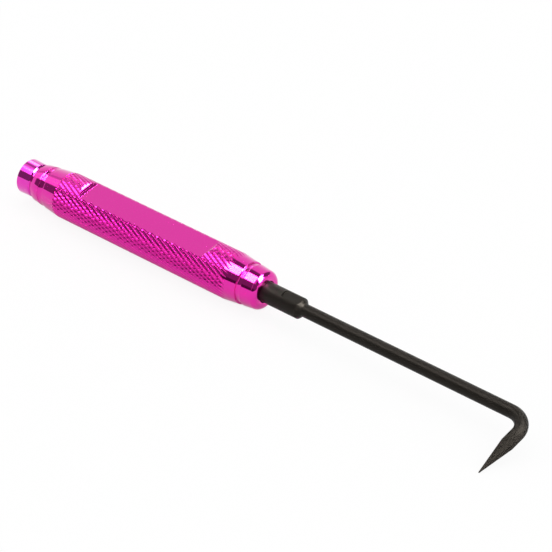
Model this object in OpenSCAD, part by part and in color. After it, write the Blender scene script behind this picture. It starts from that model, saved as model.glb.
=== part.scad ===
// Angled pick for lifting seals and rings out of their grooves.
// A turned and milled handle, a one-piece steel pick bent to a right angle, and a turned end cap.
// The tool lies as it comes to rest: on its barrel and on the point of its hook.
// The axis of the handle runs along X, with the end cap at the low end.

/* [Handle] */
// Diameter of the straight barrel
barrel_d = 13; // [10.8:0.1:18]
// Length of the straight barrel, between its two cones
barrel_len = 58.7; // [50:0.1:90]
// Length of the cone from the barrel back to the neck
rear_cone_len = 9.8; // [8:0.1:16]
// How far the rear cone falls below the barrel
rear_drop = 1.2; // [0.6:0.05:1.6]
// Length of the cone from the barrel forward to the nose face
front_cone_len = 10.95; // [8:0.05:16]
// How far the front cone would fall below the barrel at the nose face
front_drop = 1.26; // [0.6:0.01:1.6]
// Radius of the rounding at the nose
nose_round = 1.6; // [0.5:0.05:1.8]
// Size of the small chamfer on the turned edges
edge_break = 0.12; // [0.05:0.01:0.2]

/* [Ring grooves] */
// Width of the groove in the rear cone
rear_groove_w = 2.1; // [1:0.1:3]
// Distance from the neck to the groove in the rear cone
rear_groove_gap = 2.8; // [1.5:0.1:4]
// Depth of the rear groove at its shallow side
rear_groove_depth = 0.1; // [0.05:0.01:0.5]
// Width of the groove in the front cone
front_groove_w = 1.5; // [1:0.1:3]
// Distance from the nose face to the groove in the front cone
front_groove_gap = 4.55; // [2:0.05:5]
// Depth of the front groove at its shallow side
front_groove_depth = 0.26; // [0.1:0.01:0.5]

/* [Neck] */
// Width of the neck between the end cap and the rear cone
neck_w = 1.1; // [0.8:0.05:1.6]
// Depth of the neck below the edge of the rear cone
neck_depth = 0.95; // [0.7:0.05:1.1]
// Radius of the rounding between the floor of the neck and the rear cone
neck_round = 0.45; // [0.3:0.05:0.5]

/* [Milled flat] */
// Distance from the rear end of the straight barrel to the level bottom of the flat
flat_rear_gap = 8; // [3:0.1:12]
// Distance from the level bottom of the flat to the front end of the straight barrel
flat_front_gap = 7.9; // [3:0.1:12]
// Depth of the flat below the barrel
flat_depth = 1.23; // [0.8:0.01:2]
// Slope of the ramp that rises from each end of the flat
ramp_angle = 42; // [35:1:60]
// Slope of the shallow lip at the top of each ramp
lip_angle = 28; // [15:1:34]
// Height of that lip
lip_h = 0.38; // [0.1:0.01:0.5]
// Radius left by the cutter at the foot of each ramp
ramp_foot_round = 0.6; // [0.2:0.1:0.8]

/* [Collar] */
// Diameter of the collar
collar_d = 5.7; // [4.7:0.1:7]
// Length of the collar that stands out of the nose, without its chamfer
collar_reach = 11.25; // [8:0.05:20]
// Depth of the collar inside the nose
collar_seat = 5.9; // [3:0.1:8]
// Depth of each of the two wrench flats below the collar
wrench_depth = 0.35; // [0.1:0.05:0.5]
// Length of the wrench flats on the straight part of the collar
wrench_len = 5.4; // [3:0.1:8]

/* [Pick] */
// Diameter of the round shaft
shaft_d = 3.5; // [2.5:0.1:4.2]
// Distance from the nose face to the centre line of the hook
pick_reach = 81.35; // [45:0.05:140]
// Radius of the bend at the centre line
bend_round = 5.5; // [4:0.1:7]
// Length of the hook, from the centre line of the shaft to the point
hook_len = 21.15; // [18:0.05:32]
// Length of the cone that ends in the point
point_len = 11.5; // [8:0.1:15]
// Radius of the rounded point
point_round = 0.15; // [0.1:0.05:0.4]
// Diameter of the root that is fixed in the handle
root_d = 4; // [3:0.1:4.6]
// Length of the root
root_len = 12; // [8:0.5:18]

/* [End cap] */
// Length of the cap outside the handle
cap_len = 4.6; // [2.5:0.05:8]
// How far the cap lies below the edge of the rear cone
cap_step = 0.5; // [0.2:0.05:0.5]
// How far the cap widens towards its outer face
cap_flare = 0.15; // [0:0.05:0.3]
// Chamfer round the outer face of the cap
cap_chamfer = 0.25; // [0.1:0.05:0.6]
// Diameter of the spigot that sits in the handle
spigot_d = 6; // [4:0.1:7.2]
// Length of the spigot
spigot_len = 8; // [4:0.5:12]

/* [Clearances] */
// Gap all round the collar in the nose
collar_clearance = 0.1; // [0.05:0.05:0.2]
// Gap all round the root and the spigot
root_clearance = 0.05; // [0.02:0.01:0.1]
// Free room at the bottom of the two inner holes
bottom_room = 1; // [0.5:0.5:2]
// Chamfer at the mouths of the holes
mouth_chamfer = 0.15; // [0.1:0.05:0.3]

/* [Hidden] */
$fn = 96;
arc_steps = 6;
cut_over = 1;
// Least wall round the spigot, and least width of the face at the nose
spigot_wall = 0.9;
nose_land = 0.2;
// Where each turned face starts, round from the side opposite the flat: clear of the flat
// and of the line that the barrel rests on
seam_turn = 37.4;

handle_colour = [0.87, 0.19, 0.63];
pick_colour = [0.17, 0.16, 0.15];
cap_colour = [0.82, 0.42, 0.72];

// Radii along the tool
barrel_r = barrel_d / 2;
ring_r = barrel_r - rear_drop;
neck_r = ring_r - neck_depth;
cap_r = ring_r - cap_step;
cap_bevel = neck_depth - cap_step;
collar_r = collar_d / 2;
shaft_r = shaft_d / 2;
root_r = root_d / 2;
spigot_r = min(spigot_d / 2, neck_r - spigot_wall);
bore_r = collar_r + collar_clearance;

// Places along the axis, measured from the outer face of the end cap
neck_x = cap_len;
ring_x = neck_x + neck_w;
barrel_x = ring_x + rear_cone_len;
front_x = barrel_x + barrel_len;
nose_x = front_x + front_cone_len;
rear_groove_x = ring_x + rear_groove_gap;
front_groove_x = nose_x - front_groove_gap - front_groove_w;
flat_x = barrel_x + flat_rear_gap;
flat_len = barrel_len - flat_rear_gap - flat_front_gap;
seat_x = nose_x - collar_seat;
chamfer_x = nose_x + collar_reach;
wrench_x = chamfer_x - wrench_len;
corner_x = nose_x + pick_reach;

// Radius of each cone at a place along the axis
function rear_cone_r(x) = ring_r + rear_drop * (x - ring_x) / rear_cone_len;
function front_cone_r(x) = barrel_r - front_drop * (x - front_x) / front_cone_len;

// Points of an arc, as places and radii; the angle starts at the radial direction
function arc(centre, r, from, to) =
    [for (i = [0 : arc_steps])
        let (a = from + (to - from) * i / arc_steps)
        centre + r * [sin(a), cos(a)]];

// A groove in a cone: its floor and its two chamfered edges
function groove(x0, x1, r0, r1, floor_r) = [
    [x0 - edge_break, r0],
    [x0, max(r0 - edge_break, floor_r)],
    [x0, floor_r],
    [x1, floor_r],
    [x1, max(r1 - edge_break, floor_r)],
    [x1 + edge_break, r1],
];

// The nose is rounded as far as the hole in its face allows
nose_slope = atan(front_drop / front_cone_len);
nose_r = min(nose_round, front_cone_r(nose_x) - bore_r - mouth_chamfer - nose_land);
nose_centre_x = nose_x - nose_r;
nose_centre = [nose_centre_x, front_cone_r(nose_centre_x) - nose_r / cos(nose_slope)];

rear_groove_end = rear_groove_x + rear_groove_w;
front_groove_end = front_groove_x + front_groove_w;

handle_outline = concat(
    [[neck_x, 0], [neck_x, neck_r]],
    arc([ring_x - neck_round, neck_r + neck_round], neck_round, 180, 90),
    [[ring_x, ring_r - edge_break], [ring_x + edge_break, rear_cone_r(ring_x + edge_break)]],
    groove(rear_groove_x, rear_groove_end,
           rear_cone_r(rear_groove_x - edge_break), rear_cone_r(rear_groove_end + edge_break),
           rear_cone_r(rear_groove_x) - rear_groove_depth),
    [[barrel_x, barrel_r], [front_x, barrel_r]],
    groove(front_groove_x, front_groove_end,
           front_cone_r(front_groove_x - edge_break), front_cone_r(front_groove_end + edge_break),
           front_cone_r(front_groove_end) - front_groove_depth),
    arc(nose_centre, nose_r, nose_slope, 90),
    [[nose_x, 0]]
);

// One end of the milled flat: the cutter's foot, the ramp and the lip, as run and height
ramp_rise = flat_depth - lip_h;
ramp_run = ramp_rise / tan(ramp_angle);
foot_run = ramp_foot_round * tan(ramp_angle / 2);
lip_over = cut_over / tan(lip_angle);
lip_run = lip_h / tan(lip_angle);
flat_end = concat(
    arc([-foot_run, ramp_foot_round], ramp_foot_round, 180, 180 - ramp_angle),
    [[ramp_run, ramp_rise], [ramp_run + lip_run + lip_over, flat_depth + cut_over]]
);

// The cone of the point touches the small sphere at its end
point_centre = hook_len - point_round;
point_start = hook_len - point_len;
point_span = point_centre - point_start;
point_slope = acos(point_round / norm([shaft_r, point_span])) - atan2(point_span, shaft_r);

// At rest the barrel and the point of the hook touch the ground together
rest_tilt = asin((barrel_r - point_round) / point_centre);
overall_len = corner_x + shaft_r;
hook_side_y = point_centre * cos(rest_tilt) + point_round;
centre_y = (barrel_r - hook_side_y) / 2;

// Turns an outline of places and radii about the axis of the tool
module turned(outline) {
    rotate([0, 90, 0])
        rotate(seam_turn)
            rotate_extrude()
                polygon([for (p = outline) [p[1], p[0]]]);
}

// A round hole along the axis, from a place to a mouth, with a chamfer at the mouth
module hole(bottom_x, mouth_x, r) {
    out = sign(mouth_x - bottom_x);
    turned([
        [bottom_x, 0],
        [bottom_x, r],
        [mouth_x - out * mouth_chamfer, r],
        [mouth_x, r + mouth_chamfer],
        [mouth_x + out * cut_over, r + mouth_chamfer],
        [mouth_x + out * cut_over, 0],
    ]);
}

// The shape that the cutter takes away to leave the flat
module flat_cut() {
    translate([0, barrel_r + cut_over, barrel_r - flat_depth])
        rotate([90, 0, 0])
            linear_extrude(2 * (barrel_r + cut_over))
                polygon(concat(
                    [for (p = flat_end) [flat_x + flat_len + p[0], p[1]]],
                    [for (i = [len(flat_end) - 1 : -1 : 0]) [flat_x - flat_end[i][0], flat_end[i][1]]]
                ));
}

// Everything is modelled level about its axis and then laid down as it rests
module at_rest() {
    translate([-overall_len / 2, -centre_y, barrel_r])
        rotate([rest_tilt, 0, 0])
            children();
}

module handle() {
    color(handle_colour)
        at_rest()
            difference() {
                turned(handle_outline);
                flat_cut();
                hole(seat_x, nose_x, bore_r);
                turned([
                    [seat_x - root_len - bottom_room, 0],
                    [seat_x - root_len - bottom_room, root_r + root_clearance],
                    [seat_x + cut_over, root_r + root_clearance],
                    [seat_x + cut_over, 0],
                ]);
                hole(neck_x + spigot_len + bottom_room, neck_x, spigot_r + root_clearance);
            }
}

// Root, collar and straight shaft, turned in one from the rear to the start of the bend
module pick_stem() {
    difference() {
        turned([
            [seat_x - root_len, 0],
            [seat_x - root_len, root_r - mouth_chamfer],
            [seat_x - root_len + mouth_chamfer, root_r],
            [seat_x, root_r],
            [seat_x, collar_r],
            [chamfer_x, collar_r],
            [chamfer_x + collar_r - shaft_r, shaft_r],
            [corner_x - bend_round, shaft_r],
            [corner_x - bend_round, 0],
        ]);
        for (turn = [0, 180])
            rotate([turn, 0, 0])
                translate([wrench_x, -collar_d / 2, collar_r - wrench_depth])
                    cube([wrench_len + collar_r, collar_d, collar_r]);
    }
}

// The right-angled bend, a quarter of a ring in the level plane
module pick_bend() {
    translate([corner_x - bend_round, -bend_round, 0])
        rotate_extrude(angle = 90)
            translate([bend_round, 0])
                circle(r = shaft_r);
}

// The hook's straight part and its long cone down to the rounded point
module pick_point() {
    translate([corner_x, 0, 0])
        rotate([90, 0, 0])
            rotate_extrude()
                polygon(concat(
                    [[0, bend_round], [shaft_r, bend_round], [shaft_r, point_start]],
                    arc([0, point_centre], point_round, 90 - point_slope, 0)
                ));
}

module pick() {
    color(pick_colour)
        at_rest() {
            pick_stem();
            pick_bend();
            pick_point();
        }
}

// The front of the cap is bevelled down to the floor of the neck
module end_cap() {
    color(cap_colour)
        at_rest()
            turned([
                [0, 0],
                [0, cap_r + cap_flare - cap_chamfer],
                [cap_chamfer, cap_r + cap_flare],
                [neck_x - cap_bevel, cap_r],
                [neck_x, neck_r],
                [neck_x, spigot_r],
                [neck_x + spigot_len - mouth_chamfer, spigot_r],
                [neck_x + spigot_len, spigot_r - mouth_chamfer],
                [neck_x + spigot_len, 0],
            ]);
}

handle();
pick();
end_cap();
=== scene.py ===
"""The looks of the angled pick: a knurled anodised handle, a black steel pick and a polished end cap.

The pieces are modelled level in the tool's own frame, in millimetres, and then laid down where the
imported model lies. Along the tool, x runs from the outer face of the end cap to the hook, z is normal
to the milled flat, and the hook points to -y.
"""

import logging
import math
from abc import ABC, abstractmethod
from collections.abc import Callable
from dataclasses import dataclass
from enum import Enum
from typing import ClassVar

import bmesh
import bpy
from mathutils import Matrix, Quaternion, Vector

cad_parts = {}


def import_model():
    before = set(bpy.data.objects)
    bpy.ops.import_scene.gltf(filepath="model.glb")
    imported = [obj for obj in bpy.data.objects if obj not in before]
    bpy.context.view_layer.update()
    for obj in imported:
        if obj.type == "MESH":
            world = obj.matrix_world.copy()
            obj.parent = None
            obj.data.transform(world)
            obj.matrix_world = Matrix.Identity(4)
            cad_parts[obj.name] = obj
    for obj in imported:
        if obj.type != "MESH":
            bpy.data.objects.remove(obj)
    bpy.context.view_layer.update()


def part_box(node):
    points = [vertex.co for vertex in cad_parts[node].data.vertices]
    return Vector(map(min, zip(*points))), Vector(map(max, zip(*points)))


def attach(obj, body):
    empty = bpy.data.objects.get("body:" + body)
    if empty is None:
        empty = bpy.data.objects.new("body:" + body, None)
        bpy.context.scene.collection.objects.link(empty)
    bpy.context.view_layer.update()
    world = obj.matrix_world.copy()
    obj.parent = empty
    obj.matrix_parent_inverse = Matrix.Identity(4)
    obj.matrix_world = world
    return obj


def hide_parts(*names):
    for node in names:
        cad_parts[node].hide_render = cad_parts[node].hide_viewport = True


log = logging.getLogger("angled_pick")

MM = 0.001
WELD = 1e-4
SEAM_WELD = 10 * WELD
RIM_REACH = 100 * WELD
PLANE_REACH = WELD / 10
FULL_TURN = 2 * math.pi
WHITE = (1.0, 1.0, 1.0)
NOISE_MIDDLE = 0.5

# A Mix node has sockets of the same names for each kind of value, so those for colours go by number.
MIX_FIRST = 6
MIX_SECOND = 7
MIX_RESULT = 2

Colour = tuple[float, float, float]
Value = float | bpy.types.NodeSocket


class Turn(Enum):
    """How finely a turned piece is divided round its axis."""

    FINE = 192
    MEDIUM = 96


class Face(Enum):
    """The material slot of each kind of surface on the handle."""

    TURNED = 0
    KNURLED = 1
    MILLED = 2


class Cut(Enum):
    """The part of a mesh that a cut with another one keeps."""

    INSIDE = "INTERSECT"
    OUTSIDE = "DIFFERENCE"


@dataclass(frozen=True)
class ToolFrame:
    """Where the tool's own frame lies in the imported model."""

    axis_y: float
    axis_z: float
    cap_x: float
    tilt: float

    @classmethod
    def from_nodes(cls) -> "ToolFrame":
        """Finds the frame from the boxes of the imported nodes.

        Returns:
            The place of the axis and of the cap's outer face, in metres, and the tilt of the flat.
        """
        barrel_low, barrel_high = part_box("handle")
        cap_low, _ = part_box("end_cap")
        hook_low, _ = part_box("pick")
        # The tool lies on its barrel and on the small sphere of its point.
        axis = (barrel_low + barrel_high) / 2
        point_round = PointedHook.point_round * MM
        reach = axis.y - hook_low.y - point_round
        return cls(axis.y, axis.z, cap_low.x, math.atan2(axis.z - point_round, reach))

    def matrix(self) -> Matrix:
        """Returns the matrix that takes the tool's millimetres to their place in metres."""
        place = Matrix.Translation((self.cap_x, self.axis_y, self.axis_z))
        return place @ Matrix.Rotation(self.tilt, 4, "X") @ Matrix.Scale(MM, 4)


@dataclass(frozen=True)
class Corner:
    """One corner of a turned outline: its place, its radius and how far its rounding reaches.

    The rounding is made of straight steps, and a single step makes a plain chamfer.
    """

    x: float
    r: float
    rounding: float = 0.0
    steps: int = 3


def turned(corners: list[Corner], turn: Turn) -> bmesh.types.BMesh:
    """Turns an outline about the tool's axis.

    Args:
        corners: The outline, in order along it.
        turn: How finely the piece is divided round its axis.

    Returns:
        A mesh whose faces point outwards, closed where both ends of the outline are on the axis.
    """
    bm = bmesh.new()
    points = [bm.verts.new((corner.x, 0, corner.r)) for corner in corners]
    for start, end in zip(points, points[1:]):
        bm.edges.new((start, end))
    for point, corner in zip(points, corners):
        if corner.rounding:
            bmesh.ops.bevel(bm, geom=[point], offset=corner.rounding, segments=corner.steps,
                            profile=0.5, affect="VERTICES", material=-1)
    bmesh.ops.spin(bm, geom=bm.verts[:] + bm.edges[:], cent=(0, 0, 0), axis=(1, 0, 0),
                   angle=FULL_TURN, steps=turn.value, use_merge=True)
    close(bm)
    return bm


def close(bm: bmesh.types.BMesh) -> None:
    """Welds the seams and poles of a mesh and points its faces outwards.

    Args:
        bm: The mesh to finish.
    """
    bmesh.ops.remove_doubles(bm, verts=bm.verts, dist=WELD)
    bmesh.ops.recalc_face_normals(bm, faces=bm.faces)
    if bm.calc_volume(signed=True) < 0:
        bmesh.ops.reverse_faces(bm, faces=bm.faces)


def paint(bm: bmesh.types.BMesh, face: Face) -> None:
    """Gives every face of a mesh one material slot."""
    for polygon in bm.faces:
        polygon.material_index = face.value


def to_mesh(bm: bmesh.types.BMesh, name: str) -> bpy.types.Mesh:
    """Moves a bmesh into a new mesh.

    Args:
        bm: The bmesh. It is freed.
        name: The mesh's name.

    Returns:
        The mesh.
    """
    mesh = bpy.data.meshes.new(name)
    bm.to_mesh(mesh)
    bm.free()
    return mesh


def add_object(name: str, data: bpy.types.ID) -> bpy.types.Object:
    """Makes an object and links it to the scene.

    Args:
        name: The object's name.
        data: Its mesh or its camera.

    Returns:
        The object.
    """
    item = bpy.data.objects.new(name, data)
    bpy.context.scene.collection.objects.link(item)
    return item


def cut(base: bmesh.types.BMesh, cutter: bmesh.types.BMesh, kept: Cut) -> bmesh.types.BMesh:
    """Cuts one closed mesh with another.

    Args:
        base: The mesh that is cut.
        cutter: The mesh that cuts it.
        kept: Whether what lies inside or outside the cutter is kept.

    Returns:
        The mesh that is left. Both of the given meshes are freed.
    """
    objects = []
    for name, bm in (("base", base), ("cutter", cutter)):
        mesh = to_mesh(bm, name)
        # A face keeps the number of its slot where both meshes have that slot.
        for face in Face:
            mesh.materials.append(bpy.data.materials.get(face.name) or bpy.data.materials.new(face.name))
        objects.append(add_object(name, mesh))
    modifier = objects[0].modifiers.new("cut", "BOOLEAN")
    modifier.operation = kept.value
    modifier.solver = "MANIFOLD"
    modifier.material_mode = "INDEX"
    modifier.object = objects[1]
    graph = bpy.context.evaluated_depsgraph_get()
    left = bpy.data.meshes.new_from_object(objects[0].evaluated_get(graph))
    result = bmesh.new()
    result.from_mesh(left)
    for item in objects:
        mesh = item.data
        bpy.data.objects.remove(item)
        bpy.data.meshes.remove(mesh)
    bpy.data.meshes.remove(left)
    return result


@dataclass
class Piece(ABC):
    """One piece of the visual model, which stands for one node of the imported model."""

    name: str
    node: str
    slot: str
    sharp_angle: float = math.radians(32)

    @abstractmethod
    def build(self) -> bmesh.types.BMesh:
        """Returns the piece in the tool's millimetres."""

    def place(self, bm: bmesh.types.BMesh, tool: ToolFrame, materials: list[bpy.types.Material]) -> None:
        """Makes the piece's object, dresses it and hands it to the frame.

        Args:
            bm: The piece in the tool's millimetres. It is freed.
            tool: Where the tool lies.
            materials: The materials of the piece's slots.
        """
        bmesh.ops.transform(bm, matrix=tool.matrix(), verts=bm.verts)
        # Only what is turned is shaded as round. The sides of the knurl and the milled faces are flat.
        for face in bm.faces:
            face.smooth = face.material_index == Face.TURNED.value
        for edge in bm.edges:
            edge.smooth = edge.calc_face_angle(0.0) < self.sharp_angle
        mesh = to_mesh(bm, self.name)
        for material in materials:
            mesh.materials.append(material)
        piece = add_object(self.name, mesh)
        shading = piece.modifiers.new("even_shading", "WEIGHTED_NORMAL")
        shading.keep_sharp = True
        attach(piece, "root")
        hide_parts(self.node)
        log.info("%s: %d faces", self.name, len(mesh.polygons))


@dataclass(frozen=True)
class Groove:
    """One family of parallel grooves.

    A groove has two straight sides. The side is the width of one of them, as a share of the pitch.
    The pattern's grid has three lines to a pitch: the groove's bottom and its two edges.
    """

    side: float
    depth: float
    lines: ClassVar[int] = 3

    def station(self, line: float) -> tuple[float, float]:
        """Places one line of the pattern's grid.

        Args:
            line: The line's number, counted from the bottom of a groove.

        Returns:
            Its place, in pitches, and its height.
        """
        pitches, step = divmod(round(line), self.lines)
        if step == 0:
            return pitches, -self.depth
        return pitches + (self.side if step == 1 else 1 - self.side), 0.0


@dataclass
class Knurl:
    """A diamond knurl: a family of deep grooves, crossed by a family of shallow ones.

    Round the bar there are as many diamonds as starts, and each is one pitch long. The twist is how
    far they drift round the bar for each millimetre along it.
    """

    crest_r: float
    rear_x: float
    front_x: float
    starts: int = 36
    pitch: float = 2.58
    twist: float = 0.022
    deep: Groove = Groove(side=0.333, depth=0.215)
    shallow: Groove = Groove(side=0.3, depth=0.024)
    clear_r: float = 7.4
    clear_x: float = 16.0

    def sheet(self) -> bmesh.types.BMesh:
        """Makes the pattern flat, centred on the middle of the barrel.

        Returns:
            An open sheet as long as the knurl and as wide as its circumference.
        """
        length = self.front_x - self.rear_x
        width = FULL_TURN * self.crest_r
        half_x = self.pitch / 2
        half_s = width / self.starts / 2
        # The grooves run aslant, so their grid is made large enough to reach the sheet's corners.
        cells = 2 * math.ceil((length / half_x + (width + self.twist * length) / half_s) / 4)
        bm = bmesh.new()
        lines = Groove.lines * cells
        bmesh.ops.create_grid(bm, x_segments=lines, y_segments=lines, size=lines / 2)
        for vert in bm.verts:
            along, height = self.deep.station(vert.co.x + lines / 2)
            across, drop = self.shallow.station(vert.co.y + lines / 2)
            vert.co = (along - cells / 2, across - cells / 2, height + drop)
        # A step of the grid goes half a diamond along the bar and half a diamond round it.
        lean = self.twist * half_x
        lattice = Matrix(((half_x, -half_x, 0, 0), (half_s + lean, half_s - lean, 0, 0),
                          (0, 0, 1, 0), (0, 0, 0, 1)))
        bmesh.ops.transform(bm, matrix=lattice, verts=bm.verts)
        for side, reach in (((1, 0, 0), length / 2), ((0, 1, 0), width / 2)):
            for sign in (1, -1):
                normal = Vector(side) * sign
                bmesh.ops.bisect_plane(bm, geom=bm.verts[:] + bm.edges[:] + bm.faces[:], dist=PLANE_REACH,
                                       plane_co=normal * reach, plane_no=normal, clear_outer=True)
        return bm

    def tube(self) -> bmesh.types.BMesh:
        """Bends the sheet round the barrel and carries its two ends out past the turned bar.

        Returns:
            A closed mesh: inside it lies all that the knurl leaves of the bar.
        """
        bm = self.sheet()
        middle = (self.rear_x + self.front_x) / 2
        for vert in bm.verts:
            along, around, height = vert.co
            angle = around / self.crest_r
            r = self.crest_r + height
            vert.co = (middle + along, r * math.sin(angle), r * math.cos(angle))
        bmesh.ops.remove_doubles(bm, verts=bm.verts, dist=SEAM_WELD)
        for end_x, out in ((self.rear_x, -1), (self.front_x, 1)):
            rim = [edge for edge in bm.edges if edge.is_boundary
                   and abs(edge.verts[0].co.x - end_x) < RIM_REACH]
            rim = self.extend(bm, rim, 0.0)
            rim = self.extend(bm, rim, out * self.clear_x)
            bmesh.ops.edgenet_fill(bm, edges=rim)
        close(bm)
        paint(bm, Face.KNURLED)
        return bm

    def extend(self, bm: bmesh.types.BMesh, rim: list[bmesh.types.BMEdge],
               run: float) -> list[bmesh.types.BMEdge]:
        """Extrudes an open rim out to the clear radius and along the axis.

        Args:
            bm: The mesh that holds the rim.
            rim: The edges of the rim.
            run: How far the new rim lies along the axis.

        Returns:
            The edges of the new rim.
        """
        made = bmesh.ops.extrude_edge_only(bm, edges=rim)["geom"]
        for vert in (item for item in made if isinstance(item, bmesh.types.BMVert)):
            scale = self.clear_r / math.hypot(vert.co.y, vert.co.z)
            vert.co = (vert.co.x + run, vert.co.y * scale, vert.co.z * scale)
        return [item for item in made if isinstance(item, bmesh.types.BMEdge)]


@dataclass
class Handle(Piece):
    """The turned, knurled and milled bar."""

    name: str = "handle_bar"
    node: str = "handle"
    slot: str = "handle_anodised"
    barrel_r: float = 6.5
    rear_x: float = 4.6
    neck_w: float = 1.1
    neck_r: float = 4.35
    neck_round: float = 0.45
    ring_r: float = 5.3
    barrel_x: float = 15.5
    barrel_len: float = 58.7
    front_cone_len: float = 10.95
    front_drop: float = 1.26
    nose_round: float = 1.43
    rear_groove: tuple[float, float] = (8.5, 10.6)
    rear_groove_r: float = 5.54
    front_groove: tuple[float, float] = (79.1, 80.6)
    front_groove_r: float = 5.5
    edge_round: float = 0.1
    neck_steps: int = 6
    nose_steps: int = 14
    bore_r: float = 2.95
    bore_x: float = 79.25
    root_bore_r: float = 2.05
    root_bore_x: float = 66.25
    spigot_bore_r: float = 3.05
    spigot_bore_x: float = 13.6
    mouth: float = 0.15
    blank_spare: float = 0.4
    knurl_overrun: tuple[float, float] = (0.5, 1.9)
    flat_h: float = 5.27
    flat_x: float = 23.5
    flat_len: float = 42.8
    ramp_angle: float = 42.0
    ramp_rise: float = 0.85
    lip_angle: float = 28.0
    foot_round: float = 0.04
    foot_steps: int = 4

    def __post_init__(self) -> None:
        """Works out the places that follow from the driving sizes."""
        self.front_x = self.barrel_x + self.barrel_len
        self.nose_x = self.front_x + self.front_cone_len
        self.ring_x = self.rear_x + self.neck_w
        self.rear_slope = (self.barrel_r - self.ring_r) / (self.barrel_x - self.ring_x)
        self.front_slope = self.front_drop / self.front_cone_len

    def rear_cone_r(self, x: float) -> float:
        """Returns the radius of the rear cone at a place along the axis."""
        return self.ring_r + self.rear_slope * (x - self.ring_x)

    def front_cone_r(self, x: float) -> float:
        """Returns the radius of the front cone at a place along the axis."""
        return self.barrel_r - self.front_slope * (x - self.front_x)

    def ring_groove(self, span: tuple[float, float], cone: Callable[[float], float],
                    floor_r: float) -> list[Corner]:
        """Lists the corners of a ring groove.

        Args:
            span: Where the groove starts and ends.
            cone: Gives the radius of the cone at a place along the axis.
            floor_r: The radius of the groove's floor.

        Returns:
            Its four corners.
        """
        walls = []
        for x in span:
            edge_r = cone(x)
            rounding = min(self.edge_round, (edge_r - floor_r) / 2)
            walls.append([Corner(x, edge_r, rounding), Corner(x, floor_r, rounding / 2, steps=2)])
        return walls[0] + walls[1][::-1]

    def blank(self) -> bmesh.types.BMesh:
        """Turns the bar. Its barrel is left a little too thick for the knurl to be cut from.

        Returns:
            A closed mesh.
        """
        spare = self.blank_spare
        outline = [
            Corner(self.spigot_bore_x, 0),
            Corner(self.spigot_bore_x, self.spigot_bore_r),
            Corner(self.rear_x + self.mouth, self.spigot_bore_r),
            Corner(self.rear_x, self.spigot_bore_r + self.mouth),
            Corner(self.rear_x, self.neck_r),
            Corner(self.ring_x, self.neck_r, self.neck_round, self.neck_steps),
            Corner(self.ring_x, self.ring_r, self.edge_round),
            *self.ring_groove(self.rear_groove, self.rear_cone_r, self.rear_groove_r),
            Corner(self.barrel_x + spare / self.rear_slope, self.barrel_r + spare),
            Corner(self.front_x - spare / self.front_slope, self.barrel_r + spare),
            *self.ring_groove(self.front_groove, self.front_cone_r, self.front_groove_r),
            Corner(self.nose_x, self.front_cone_r(self.nose_x), self.nose_round, self.nose_steps),
            Corner(self.nose_x, self.bore_r + self.mouth),
            Corner(self.nose_x - self.mouth, self.bore_r),
            Corner(self.bore_x, self.bore_r),
            Corner(self.bore_x, self.root_bore_r),
            Corner(self.root_bore_x, self.root_bore_r),
            Corner(self.root_bore_x, 0),
        ]
        return turned(outline, Turn.FINE)

    def flat_cutter(self) -> bmesh.types.BMesh:
        """Makes the block that the milling cutter takes away above the flat.

        Returns:
            A closed mesh.
        """
        ramp_run = self.ramp_rise / math.tan(math.radians(self.ramp_angle))
        # The lips run on up until they are well clear of the bar.
        top_rise = 2 * self.ramp_rise
        lip_run = top_rise / math.tan(math.radians(self.lip_angle))
        end = [(0.0, 0.0), (ramp_run, self.ramp_rise), (ramp_run + lip_run, self.ramp_rise + top_rise)]
        outline = [(self.flat_x - run, self.flat_h + rise) for run, rise in reversed(end)]
        outline += [(self.flat_x + self.flat_len + run, self.flat_h + rise) for run, rise in end]
        half_width = 2 * self.barrel_r
        bm = bmesh.new()
        corners = [bm.verts.new((x, -half_width, z)) for x, z in outline]
        bm.faces.new(corners)
        feet = [corner for corner in corners if abs(corner.co.z - self.flat_h) < WELD]
        bmesh.ops.bevel(bm, geom=feet, offset=self.foot_round, segments=self.foot_steps, profile=0.5,
                        affect="VERTICES", material=-1)
        made = bmesh.ops.extrude_face_region(bm, geom=bm.faces[:])["geom"]
        moved = [item for item in made if isinstance(item, bmesh.types.BMVert)]
        bmesh.ops.translate(bm, vec=(0, 2 * half_width, 0), verts=moved)
        close(bm)
        paint(bm, Face.MILLED)
        return bm

    def build(self) -> bmesh.types.BMesh:
        """Turns, knurls and mills the bar.

        Returns:
            The bar in the tool's millimetres.
        """
        rear_overrun, front_overrun = self.knurl_overrun
        knurl = Knurl(self.barrel_r, self.barrel_x - rear_overrun, self.front_x + front_overrun)
        bar = cut(self.blank(), knurl.tube(), Cut.INSIDE)
        return cut(bar, self.flat_cutter(), Cut.OUTSIDE)


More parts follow.
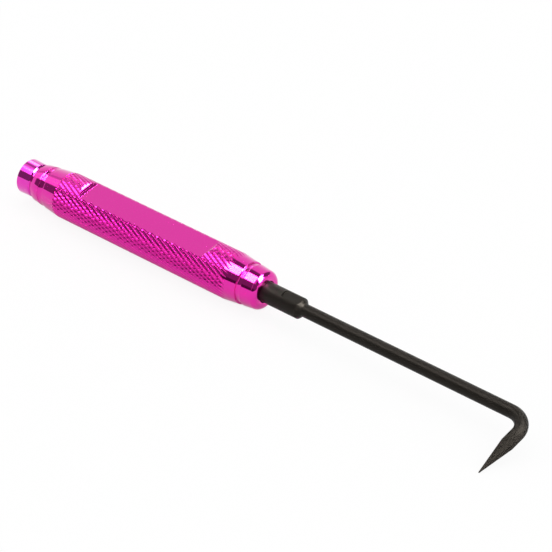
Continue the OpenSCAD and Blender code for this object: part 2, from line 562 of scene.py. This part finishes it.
@dataclass
class PointedHook(Piece):
    """The steel pick: root, collar with two wrench flats, shaft, bend and pointed hook.

    The flat parts, the chamfer places and the cone shares say where its rings of faces lie.
    """

    name: str = "steel_pick"
    node: str = "pick"
    slot: str = "pick_black_steel"
    sharp_angle: float = math.radians(18)
    root_x: float = 67.25
    root_r: float = 2.0
    collar_x: float = 79.25
    collar_end: float = 96.4
    collar_r: float = 2.85
    shaft_r: float = 1.75
    wrench_x: float = 91.0
    wrench_half: float = 2.5
    flat_wall: float = 0.02
    corner_x: float = 166.5
    bend_r: float = 5.5
    hook_len: float = 21.15
    point_len: float = 11.5
    point_round: float = 0.15
    edge_round: float = 0.12
    root_chamfer: float = 0.2
    flat_parts: int = 4
    chamfer_places: tuple[float, ...] = (0.2, 0.3, 0.4, 0.6)
    bend_steps: int = 24
    cone_shares: tuple[float, ...] = (0.02, 0.25, 0.5, 0.75, 1.0)
    point_angles: tuple[float, ...] = (25.0, 50.0, 75.0)

    def stem(self) -> bmesh.types.BMesh:
        """Turns the root, the collar and the shaft, left open at the bend.

        Returns:
            An open mesh.
        """
        chamfer_end = self.collar_end + self.collar_r - self.shaft_r
        flat_step = (self.collar_end - self.wrench_x) / self.flat_parts
        outline = [
            Corner(self.root_x, 0),
            Corner(self.root_x, self.root_r, self.root_chamfer, steps=1),
            Corner(self.collar_x, self.root_r),
            Corner(self.collar_x, self.collar_r),
            Corner(self.wrench_x - self.flat_wall, self.collar_r),
            Corner(self.wrench_x, self.collar_r),
            *[Corner(self.wrench_x + flat_step * i, self.collar_r) for i in range(1, self.flat_parts)],
            Corner(self.collar_end, self.collar_r, self.edge_round),
            *[Corner(self.collar_end + step, self.collar_r - step) for step in self.chamfer_places],
            Corner(chamfer_end, self.shaft_r, self.edge_round),
            Corner(self.corner_x - self.bend_r, self.shaft_r),
        ]
        bm = turned(outline, Turn.MEDIUM)
        # The flats are pressed into the end of the collar. The shaft is too thin to be reached.
        for vert in bm.verts:
            if vert.co.x > self.wrench_x - WELD:
                vert.co.z = max(-self.wrench_half, min(self.wrench_half, vert.co.z))
        return bm

    def build(self) -> bmesh.types.BMesh:
        """Spins the open end of the stem round the bend and draws it out along the hook.

        Returns:
            The pick in the tool's millimetres.
        """
        bm = self.stem()
        rim = [edge for edge in bm.edges if edge.is_boundary]
        bent = bmesh.ops.spin(bm, geom=rim, cent=(self.corner_x - self.bend_r, -self.bend_r, 0),
                              axis=(0, 0, 1), angle=-math.pi / 2, steps=self.bend_steps)["geom_last"]
        rim = [item for item in bent if isinstance(item, bmesh.types.BMEdge)]
        for place, radius in self.hook_stations():
            rim = self.draw_out(bm, rim, place, radius)
        bmesh.ops.edgenet_fill(bm, edges=rim)
        close(bm)
        return bm

    def hook_stations(self) -> list[tuple[float, float]]:
        """Lists the hook's places, measured from the shaft's centre line, and their radii.

        Returns:
            The start of the taper, places along the cone, and the rounded point.
        """
        start = self.hook_len - self.point_len
        centre = self.hook_len - self.point_round
        span = centre - start
        # The half angle of the cone that runs smoothly into the small sphere of the point.
        half_angle = (math.acos(self.point_round / math.hypot(self.shaft_r, span))
                      - math.atan2(span, self.shaft_r))
        cone_end = (centre + self.point_round * math.sin(half_angle),
                    self.point_round * math.cos(half_angle))
        stations = [(start, self.shaft_r)]
        for share in self.cone_shares:
            stations.append((start + (cone_end[0] - start) * share,
                             self.shaft_r + (cone_end[1] - self.shaft_r) * share))
        for angle in self.point_angles:
            turn = math.radians(angle)
            stations.append((centre + self.point_round * math.sin(turn), self.point_round * math.cos(turn)))
        return stations

    def draw_out(self, bm: bmesh.types.BMesh, rim: list[bmesh.types.BMEdge], place: float,
                 radius: float) -> list[bmesh.types.BMEdge]:
        """Extrudes the hook's open rim to its next place and radius.

        Args:
            bm: The mesh that holds the rim.
            rim: The edges of the rim.
            place: The new distance from the shaft's centre line.
            radius: The new radius.

        Returns:
            The edges of the new rim.
        """
        made = bmesh.ops.extrude_edge_only(bm, edges=rim)["geom"]
        for vert in (item for item in made if isinstance(item, bmesh.types.BMVert)):
            across = Vector((vert.co.x - self.corner_x, vert.co.z)).normalized() * radius
            vert.co = (self.corner_x + across.x, -place, across.y)
        return [item for item in made if isinstance(item, bmesh.types.BMEdge)]


@dataclass
class EndCap(Piece):
    """The polished cap behind the neck, with its spigot."""

    name: str = "end_cap_turned"
    node: str = "end_cap"
    slot: str = "cap_anodised"
    length: float = 4.6
    bevel: float = 0.45
    cap_r: float = 4.8
    flare: float = 0.15
    spigot_r: float = 3.0
    spigot_len: float = 8.0
    outer_round: float = 0.25
    outer_steps: int = 5
    bevel_round: float = 0.06
    spigot_chamfer: float = 0.2

    def build(self) -> bmesh.types.BMesh:
        """Turns the cap.

        Returns:
            The cap in the tool's millimetres.
        """
        end = self.length + self.spigot_len
        outline = [
            Corner(0, 0),
            Corner(0, self.cap_r + self.flare, self.outer_round, self.outer_steps),
            Corner(self.length - self.bevel, self.cap_r, self.bevel_round, steps=2),
            Corner(self.length, self.cap_r - self.bevel, self.bevel_round, steps=2),
            Corner(self.length, self.spigot_r),
            Corner(end, self.spigot_r, self.spigot_chamfer, steps=1),
            Corner(end, 0),
        ]
        return turned(outline, Turn.FINE)


class Nodes:
    """Adds nodes to a tree and links them."""

    def __init__(self, tree: bpy.types.NodeTree) -> None:
        """Keeps the tree."""
        self.tree = tree

    def add(self, kind: str, inputs: dict[str | int, object] | None = None,
            **settings: object) -> bpy.types.Node:
        """Adds a node.

        Args:
            kind: The node's type name.
            inputs: Values or sockets for the node's inputs, by name or number.
            settings: Values for the node's own properties.

        Returns:
            The node.
        """
        node = self.tree.nodes.new(kind)
        for name, value in settings.items():
            setattr(node, name, value)
        for key, value in (inputs or {}).items():
            self.feed(node.inputs[key], value)
        return node

    def feed(self, socket: bpy.types.NodeSocket, value: object) -> None:
        """Links a socket to an input, or sets the input to a plain value."""
        if isinstance(value, bpy.types.NodeSocket):
            self.tree.links.new(value, socket)
        else:
            socket.default_value = value

    def math(self, operation: str, *values: Value) -> bpy.types.NodeSocket:
        """Returns the result of a Math node with the given values."""
        return self.add("ShaderNodeMath", dict(enumerate(values)), operation=operation).outputs[0]

    def ease(self, value: Value, low: float, high: float, start: float = 0.0,
             end: float = 1.0) -> bpy.types.NodeSocket:
        """Returns a value eased from start to end while the given one goes from low to high."""
        inputs = {"Value": value, "From Min": low, "From Max": high, "To Min": start, "To Max": end}
        return self.add("ShaderNodeMapRange", inputs, interpolation_type="SMOOTHSTEP").outputs["Result"]

    def band(self, value: Value, low: float, high: float, soft: float) -> bpy.types.NodeSocket:
        """Returns 1 where the value lies between low and high, falling softly to 0 outside."""
        return self.math("MULTIPLY", self.ease(value, low - soft, low + soft),
                         self.ease(value, high - soft, high + soft, 1.0, 0.0))

    def radius(self, parts: bpy.types.Node) -> bpy.types.NodeSocket:
        """Returns the distance from the axis of a place that a Separate XYZ node has split."""
        squares = [self.math("MULTIPLY", part, part) for part in parts.outputs[1:3]]
        return self.math("SQRT", self.math("ADD", *squares))

    def mix(self, factor: Value, first: object, second: object) -> bpy.types.NodeSocket:
        """Returns a mix of two colours."""
        inputs = {"Factor": factor, MIX_FIRST: first, MIX_SECOND: second}
        return self.add("ShaderNodeMix", inputs, data_type="RGBA").outputs[MIX_RESULT]


def fresh_nodes(owner: bpy.types.Material | bpy.types.World) -> Nodes:
    """Turns on the nodes of a material or a world and empties its tree.

    Args:
        owner: The material or the world.

    Returns:
        Its tree, ready for new nodes.
    """
    owner.use_nodes = True
    owner.node_tree.nodes.clear()
    return Nodes(owner.node_tree)


def rgba(colour: Colour) -> tuple[float, float, float, float]:
    """Returns a colour with full alpha."""
    return (*colour, 1.0)


def new_group(name: str, inputs: dict[str, float], outputs: tuple[str, ...]) -> bpy.types.NodeTree:
    """Makes an empty shader node group with a Vector input and the given sockets.

    Args:
        name: The group's name.
        inputs: The names of its value inputs and their defaults.
        outputs: The names of its value outputs.

    Returns:
        The group's tree.
    """
    tree = bpy.data.node_groups.new(name, "ShaderNodeTree")
    tree.interface.new_socket("Vector", in_out="INPUT", socket_type="NodeSocketVector")
    for label, default in inputs.items():
        socket = tree.interface.new_socket(label, in_out="INPUT", socket_type="NodeSocketFloat")
        socket.default_value = default
    for label in outputs:
        tree.interface.new_socket(label, in_out="OUTPUT", socket_type="NodeSocketFloat")
    return tree


@dataclass
class Effects:
    """The node groups that several finishes share, with the values that are the same in all of them."""

    sheen_scale: float = 1.6
    patch_span: tuple[float, float] = (0.3, 0.7)
    patch_least: float = 0.35

    def __post_init__(self) -> None:
        """Builds each group once."""
        self.turning = self.make_turning()
        self.wear_and_highlight = self.make_wear_and_highlight()
        self.tone = self.make_tone()

    def make_turning(self) -> bpy.types.NodeTree:
        """Makes the fine rings that a lathe tool leaves round the axis.

        Returns:
            A group that reads millimetres from the axis and puts out a height and a sheen.
        """
        tree = new_group("turning_marks", {"Pitch": 0.1}, ("Height", "Sheen"))
        nodes = Nodes(tree)
        ends = nodes.add("NodeGroupInput")
        parts = nodes.add("ShaderNodeSeparateXYZ", {0: ends.outputs["Vector"]})
        place = nodes.math("ADD", parts.outputs[0], nodes.radius(parts))
        fine = nodes.math("DIVIDE", place, ends.outputs["Pitch"])
        height = nodes.add("ShaderNodeTexNoise", {"W": fine, "Scale": 1.0, "Detail": 2.0},
                           noise_dimensions="1D")
        sheen = nodes.add("ShaderNodeTexNoise", {"W": place, "Scale": self.sheen_scale, "Detail": 3.0},
                          noise_dimensions="1D")
        nodes.add("NodeGroupOutput", {"Height": height.outputs["Fac"], "Sheen": sheen.outputs["Fac"]})
        return tree

    def make_wear_and_highlight(self) -> bpy.types.NodeTree:
        """Makes the lighter outer edges: light rubbing, and a painted highlight where edges catch the light.

        Returns:
            A group that puts out a mask, 1 where an edge is bright.
        """
        tree = new_group("edge_wear_and_highlight", {"Low": 0.52, "High": 0.62, "Patch Size": 2.0}, ("Mask",))
        nodes = Nodes(tree)
        ends = nodes.add("NodeGroupInput")
        shape = nodes.add("ShaderNodeNewGeometry")
        edge = nodes.add("ShaderNodeMapRange", {"Value": shape.outputs["Pointiness"],
                                                "From Min": ends.outputs["Low"],
                                                "From Max": ends.outputs["High"]})
        scale = nodes.math("DIVIDE", 1.0, ends.outputs["Patch Size"])
        patch = nodes.add("ShaderNodeTexNoise", {"Vector": ends.outputs["Vector"], "Scale": scale,
                                                 "Detail": 4.0})
        patches = nodes.ease(patch.outputs["Fac"], *self.patch_span, self.patch_least, 1.0)
        mask = nodes.math("MULTIPLY", edge.outputs["Result"], patches)
        nodes.add("NodeGroupOutput", {"Mask": mask})
        return tree

    def make_tone(self) -> bpy.types.NodeTree:
        """Makes the cloudy unevenness of a dyed or blackened surface, and its fine grain.

        Returns:
            A group that puts out a cloud and a grain, both from 0 to 1.
        """
        tree = new_group("tone", {"Cloud Size": 6.0, "Grain Size": 0.12}, ("Cloud", "Grain"))
        nodes = Nodes(tree)
        ends = nodes.add("NodeGroupInput")
        made = {}
        for label, detail in (("Cloud", 3.0), ("Grain", 2.0)):
            scale = nodes.math("DIVIDE", 1.0, ends.outputs[label + " Size"])
            made[label] = nodes.add("ShaderNodeTexNoise", {"Vector": ends.outputs["Vector"], "Scale": scale,
                                                           "Detail": detail}).outputs["Fac"]
        nodes.add("NodeGroupOutput", made)
        return tree


@dataclass(frozen=True)
class MetalFinish:
    """One metal finish and the amounts of its effects.

    The painted shade in the grooves, a darker colour where the knurl is deep, is full up to the first
    radius of the groove span and gone from the second one on. The dulling of the hook is full up to the
    first y of the hook span and gone from the second one on. Both spans are in millimetres.
    """

    name: str
    colour: Colour
    cloud_and_shade_colour: Colour
    # The edge colour stands for rubbing and also for a painted highlight along the outer edges.
    edge_and_highlight_colour: Colour
    roughness: float
    coat: float
    metallic: float = 1.0
    coat_ior: float = 1.52
    coat_roughness: float = 0.03
    specular: float = 0.5
    specular_tint: Colour = WHITE
    sheen_spread: float = 0.03
    cloud: float = 0.3
    wear_and_highlight: float = 0.4
    wear_and_highlight_low: float = 0.53
    wear_and_highlight_high: float = 0.66
    pitch: float = 0.1
    ring_depth: float = 0.0004
    grain_size: float = 0.1
    grain_depth: float = 0.0
    painted_groove_shade: float = 0.0
    groove_span: tuple[float, float] = (6.3, 6.44)
    hook_dulling: float = 0.0
    hook_span: tuple[float, float] = (-9.0, -1.0)

    def tint(self, nodes: Nodes, local: bpy.types.NodeSocket, tone: bpy.types.Node,
             wear_and_highlight: bpy.types.Node) -> bpy.types.NodeSocket:
        """Mixes the cloudy colour, the painted shade in the grooves, and the lighter edges, which are
        rubbing and painted highlights.

        Args:
            nodes: The material's tree.
            local: The place in the tool's millimetres.
            tone: The group of the cloud and the grain.
            wear_and_highlight: The group of the lighter edges, which are rubbing and painted highlights.

        Returns:
            The colour.
        """
        cloud = nodes.math("MULTIPLY", tone.outputs["Cloud"], self.cloud)
        colour = nodes.mix(cloud, rgba(self.colour), rgba(self.cloud_and_shade_colour))
        # Painted shade: the colour darkens in the knurl's grooves, where shade falls, the deeper the darker.
        if self.painted_groove_shade:
            radius = nodes.radius(nodes.add("ShaderNodeSeparateXYZ", {0: local}))
            shade = nodes.ease(radius, *self.groove_span, self.painted_groove_shade, 0.0)
            colour = nodes.mix(shade, colour, rgba(self.cloud_and_shade_colour))
        # Painted highlight and rubbing: the outer edges turn towards the lighter edge colour.
        edge = nodes.math("MULTIPLY", wear_and_highlight.outputs["Mask"], self.wear_and_highlight)
        return nodes.mix(edge, colour, rgba(self.edge_and_highlight_colour))

    def roughen(self, nodes: Nodes, local: bpy.types.NodeSocket, tone: bpy.types.Node,
                turning: bpy.types.Node) -> bpy.types.NodeSocket:
        """Varies the roughness with the turning marks and the grain, and dulls the hook.

        Args:
            nodes: The material's tree.
            local: The place in the tool's millimetres.
            tone: The group of the cloud and the grain.
            turning: The group of the turning marks.

        Returns:
            The roughness.
        """
        sheen = nodes.math("SUBTRACT", turning.outputs["Sheen"], NOISE_MIDDLE)
        grain = nodes.math("SUBTRACT", tone.outputs["Grain"], NOISE_MIDDLE)
        roughness = nodes.math("MULTIPLY_ADD", nodes.math("ADD", sheen, grain), self.sheen_spread,
                               self.roughness)
        if self.hook_dulling:
            down = nodes.add("ShaderNodeSeparateXYZ", {0: local}).outputs[1]
            dulling = nodes.ease(down, *self.hook_span, self.hook_dulling, 0.0)
            roughness = nodes.math("ADD", roughness, dulling)
        return roughness

    def relief(self, nodes: Nodes, tone: bpy.types.Node, turning: bpy.types.Node) -> bpy.types.NodeSocket:
        """Raises the turning marks and the grain.

        Args:
            nodes: The material's tree.
            tone: The group of the cloud and the grain.
            turning: The group of the turning marks.

        Returns:
            The normal.
        """
        height = nodes.math("ADD", nodes.math("MULTIPLY", turning.outputs["Height"], self.ring_depth),
                            nodes.math("MULTIPLY", tone.outputs["Grain"], self.grain_depth))
        bump = nodes.add("ShaderNodeBump", {"Height": height, "Distance": MM, "Strength": 1.0})
        return bump.outputs["Normal"]

    def make(self, effects: Effects, tool: ToolFrame) -> bpy.types.Material:
        """Builds the material.

        Args:
            effects: The shared node groups.
            tool: Where the tool lies, which centres the patterns on its axis.

        Returns:
            The material.
        """
        material = bpy.data.materials.new(self.name)
        nodes = fresh_nodes(material)
        place = nodes.add("ShaderNodeTexCoord")
        inverse = tool.matrix().inverted()
        local = nodes.add("ShaderNodeMapping", {"Vector": place.outputs["Object"],
                                                "Location": inverse.translation,
                                                "Rotation": inverse.to_euler(),
                                                "Scale": (1 / MM,) * 3}).outputs["Vector"]
        turning = nodes.add("ShaderNodeGroup", {"Vector": local, "Pitch": self.pitch},
                            node_tree=effects.turning)
        wear_and_highlight = nodes.add("ShaderNodeGroup", {"Vector": local, "Low": self.wear_and_highlight_low, "High": self.wear_and_highlight_high},
                         node_tree=effects.wear_and_highlight)
        tone = nodes.add("ShaderNodeGroup", {"Vector": local, "Grain Size": self.grain_size},
                         node_tree=effects.tone)
        shader = nodes.add("ShaderNodeBsdfPrincipled", {
            "Base Color": self.tint(nodes, local, tone, wear_and_highlight),
            "Roughness": self.roughen(nodes, local, tone, turning),
            "Normal": self.relief(nodes, tone, turning),
            "Metallic": self.metallic, "Specular IOR Level": self.specular,
            "Specular Tint": rgba(self.specular_tint), "Coat Weight": self.coat,
            "Coat IOR": self.coat_ior, "Coat Roughness": self.coat_roughness})
        nodes.add("ShaderNodeOutputMaterial", {"Surface": shader.outputs["BSDF"]})
        return material


MAGENTA = MetalFinish(
    "magenta_turned", colour=(0.79, 0.003, 0.385), cloud_and_shade_colour=(0.70, 0.002, 0.34),
    edge_and_highlight_colour=(0.60, 0.20, 0.38), roughness=0.08, coat=0.75)
# The knurled finish paints shade into its grooves.
MAGENTA_KNURL = MetalFinish(
    "magenta_knurled", colour=(0.76, 0.004, 0.36), cloud_and_shade_colour=(0.50, 0.002, 0.24),
    edge_and_highlight_colour=(0.80, 0.08, 0.48), roughness=0.12, coat=0.4, coat_roughness=0.1, wear_and_highlight=0.2,
    ring_depth=0.0, painted_groove_shade=0.3)
MAGENTA_MILLED = MetalFinish(
    "magenta_milled", colour=(0.72, 0.014, 0.345), cloud_and_shade_colour=(0.66, 0.012, 0.32),
    edge_and_highlight_colour=(0.62, 0.22, 0.42), roughness=0.07, coat=0.5, sheen_spread=0.02, wear_and_highlight=0.0,
    ring_depth=0.0)
LILAC = MetalFinish(
    "lilac_polished", colour=(0.80, 0.012, 0.50), cloud_and_shade_colour=(0.72, 0.010, 0.45),
    edge_and_highlight_colour=(0.85, 0.35, 0.70), roughness=0.07, coat=0.9, coat_ior=1.55, pitch=0.08)
BLACK_STEEL = MetalFinish(
    "black_oxide", colour=(0.011, 0.0095, 0.008), cloud_and_shade_colour=(0.006, 0.0055, 0.005),
    edge_and_highlight_colour=(0.16, 0.15, 0.13), roughness=0.38, coat=0.0, metallic=0.0, specular=0.12,
    specular_tint=(1.0, 0.9, 0.76), sheen_spread=0.15, wear_and_highlight=0.3, ring_depth=0.0003,
    grain_size=0.15, grain_depth=0.004, hook_dulling=0.4)


@dataclass(frozen=True)
class Panel:
    """One flag or lamp of the room.

    Its place is an arc round the x axis, from straight up towards -y, in degrees, and a run along x,
    which is the x of a direction of length 1. Its level takes the place of what lies behind it.
    """

    arc: tuple[float, float]
    run: tuple[float, float]
    level: float
    arc_soft: float = 2.5
    run_soft: float = 0.02


# A level of 1 is the room's own. Flags below it darken what the metal mirrors, and lamps above it
# light it. They are set for the photograph's view, and the later ones lie in front.
PANELS = (
    Panel(arc=(48.0, 93.0), run=(-0.8, 0.95), level=0.2, run_soft=0.01),
    Panel(arc=(76.0, 91.0), run=(-0.4, 0.6), level=0.06),
    Panel(arc=(46.0, 100.0), run=(-0.27, -0.18), level=1.0),
    Panel(arc=(-11.0, 1.0), run=(-0.98, -0.63), level=0.7),
    Panel(arc=(-19.0, -5.0), run=(-0.63, -0.5), level=0.45),
    Panel(arc=(-15.0, 8.0), run=(-0.5, 0.95), level=0.2, run_soft=0.04),
    Panel(arc=(-67.0, -20.0), run=(0.0, 0.72), level=0.2),
    Panel(arc=(18.0, 48.0), run=(0.3, 0.95), level=0.2),
    Panel(arc=(7.0, 46.0), run=(-0.9, -0.2), level=1.4, run_soft=0.05),
    Panel(arc=(-12.0, 46.0), run=(-0.29, -0.12), level=1.25),
    Panel(arc=(15.0, 28.0), run=(-0.58, -0.54), level=4.5, run_soft=0.01),
    Panel(arc=(-48.0, -28.0), run=(-0.6, -0.56), level=4.5, run_soft=0.01),
    Panel(arc=(9.0, 46.0), run=(-0.64, -0.598), level=13.0, run_soft=0.005),
    Panel(arc=(9.0, 46.0), run=(-0.545, -0.5), level=13.0, run_soft=0.005),
    Panel(arc=(9.0, 46.0), run=(-0.357, -0.31), level=15.0, run_soft=0.005),
    Panel(arc=(-20.5, 0.0), run=(0.14, 0.36), level=18.0),
    Panel(arc=(-14.0, 20.0), run=(0.0, 0.88), level=40.0),
    Panel(arc=(-30.0, 4.0), run=(0.72, 0.92), level=40.0),
)


@dataclass
class Studio:
    """The floor, the light round the object and the camera.

    Lengths are in metres and angles in degrees, but the lens and the sensor are in millimetres.
    """

    floor_size: float = 6.0
    floor_colour: Colour = (0.98, 0.98, 0.98)
    floor_glow: float = 0.9
    floor_gloss: float = 0.2
    room: float = 1.0
    panels: tuple[Panel, ...] = PANELS
    aim: tuple[float, float, float] = (-0.0032, 0.0157, 0.0065)
    distance: float = 0.5943
    azimuth: float = -54.62
    elevation: float = 26.83
    roll: float = 7.97
    lens: float = 149.25
    sensor: float = 36.0
    nearest: float = 0.01

    def make_floor(self) -> None:
        """Makes the pale floor, which looks white to the camera but for the object's shadow."""
        bm = bmesh.new()
        bmesh.ops.create_grid(bm, x_segments=1, y_segments=1, size=self.floor_size / 2)
        mesh = to_mesh(bm, "floor")
        material = bpy.data.materials.new("pale_floor")
        nodes = fresh_nodes(material)
        plain = nodes.add("ShaderNodeBsdfDiffuse", {"Color": rgba(self.floor_colour)})
        glow = nodes.add("ShaderNodeEmission", {"Color": rgba(WHITE), "Strength": 1.0})
        ray = nodes.add("ShaderNodeLightPath").outputs
        mirrored = nodes.math("MULTIPLY", ray["Is Glossy Ray"], self.floor_gloss)
        seen = nodes.math("MULTIPLY_ADD", ray["Is Camera Ray"], self.floor_glow, mirrored)
        both = nodes.add("ShaderNodeMixShader", {0: seen, 1: plain.outputs[0], 2: glow.outputs[0]})
        nodes.add("ShaderNodeOutputMaterial", {"Surface": both.outputs[0]})
        mesh.materials.append(material)
        floor = add_object("floor", mesh)

    def make_light(self) -> None:
        """Makes the even light of the room, and the flags and lamps that only glossy rays see."""
        world = bpy.data.worlds.new("studio")
        world.cycles.sampling_method = "NONE"
        bpy.context.scene.world = world
        nodes = fresh_nodes(world)
        parts = nodes.add("ShaderNodeSeparateXYZ", {0: nodes.add("ShaderNodeTexCoord").outputs["Generated"]})
        arc = nodes.math("DEGREES", nodes.math("ARCTAN2", nodes.math("MULTIPLY", parts.outputs[1], -1.0),
                                               parts.outputs[2]))
        run = parts.outputs[0]
        level = nodes.add("ShaderNodeValue").outputs[0]
        level.default_value = self.room
        for panel in self.panels:
            inside = nodes.math("MULTIPLY", nodes.band(arc, *panel.arc, panel.arc_soft),
                                nodes.band(run, *panel.run, panel.run_soft))
            change = nodes.math("SUBTRACT", panel.level, level)
            level = nodes.math("MULTIPLY_ADD", inside, change, level)
        mirrored = nodes.add("ShaderNodeLightPath").outputs["Is Glossy Ray"]
        level = nodes.math("MULTIPLY_ADD", mirrored, nodes.math("SUBTRACT", level, self.room), self.room)
        sky = nodes.add("ShaderNodeBackground", {"Color": rgba(WHITE), "Strength": level})
        nodes.add("ShaderNodeOutputWorld", {"Surface": sky.outputs[0]})

    def make_camera(self) -> None:
        """Makes the camera, which sees the tool from the photograph's angle."""
        azimuth, elevation, roll = map(math.radians, (self.azimuth, self.elevation, self.roll))
        back = Vector((math.cos(elevation) * math.cos(azimuth), math.cos(elevation) * math.sin(azimuth),
                       math.sin(elevation)))
        data = bpy.data.cameras.new("camera")
        data.lens = self.lens
        data.sensor_width = self.sensor
        data.clip_start = self.nearest
        camera = add_object("camera", data)
        camera.rotation_mode = "QUATERNION"
        camera.location = Vector(self.aim) + back * self.distance
        camera.rotation_quaternion = back.to_track_quat("Z", "Y") @ Quaternion((0, 0, 1), roll)
        bpy.context.scene.camera = camera


def main() -> None:
    """Builds the pieces round the frame and sets the stage."""
    logging.basicConfig(level=logging.INFO, format="%(name)s: %(message)s")
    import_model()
    tool = ToolFrame.from_nodes()
    effects = Effects()
    for piece, finishes in ((Handle(), (MAGENTA, MAGENTA_KNURL, MAGENTA_MILLED)),
                            (PointedHook(), (BLACK_STEEL,)), (EndCap(), (LILAC,))):
        piece.place(piece.build(), tool, [finish.make(effects, tool) for finish in finishes])
    studio = Studio()
    studio.make_floor()
    studio.make_light()
    studio.make_camera()
    bpy.context.scene.view_settings.view_transform = "Standard"


if __name__ == "__main__":
    main()
